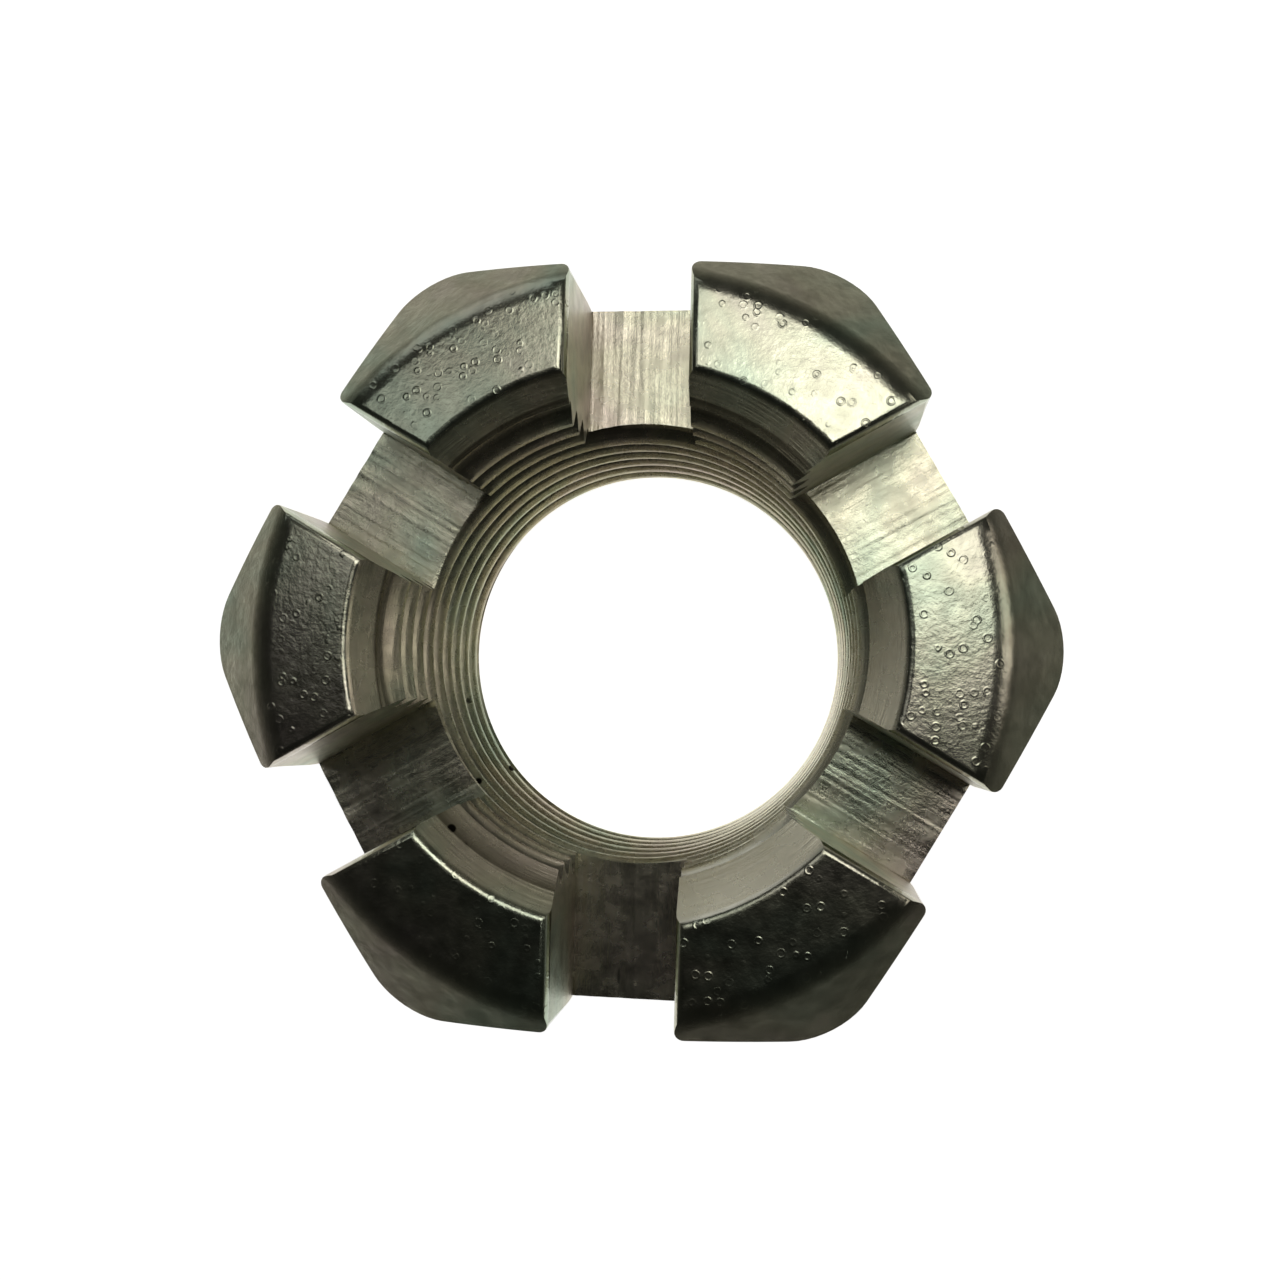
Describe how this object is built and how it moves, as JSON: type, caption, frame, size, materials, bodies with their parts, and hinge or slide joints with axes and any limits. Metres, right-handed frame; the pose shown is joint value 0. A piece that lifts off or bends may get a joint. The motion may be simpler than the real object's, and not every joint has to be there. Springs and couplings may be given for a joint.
{
  "type": "castle nut",
  "caption": "Zinc-plated steel castle nut: a hexagon nut with square slots across the middle of its flats for a split pin and a fine right-hand thread.",
  "frame": {"origin": "centre of the bearing face, the flat end away from the slots, at the foot of the bounding box", "axes": "+Z along the thread axis towards the slotted end; +X towards one corner of the hexagon; +Y across the middle of one flat and along one pair of slots"},
  "size_m": [0.0336, 0.03, 0.016],
  "materials": {
    "zinc_steel": "satin"
  },
  "bodies": {
    "root": {"castle_nut": "zinc_steel"}
  },
  "joints": []
}
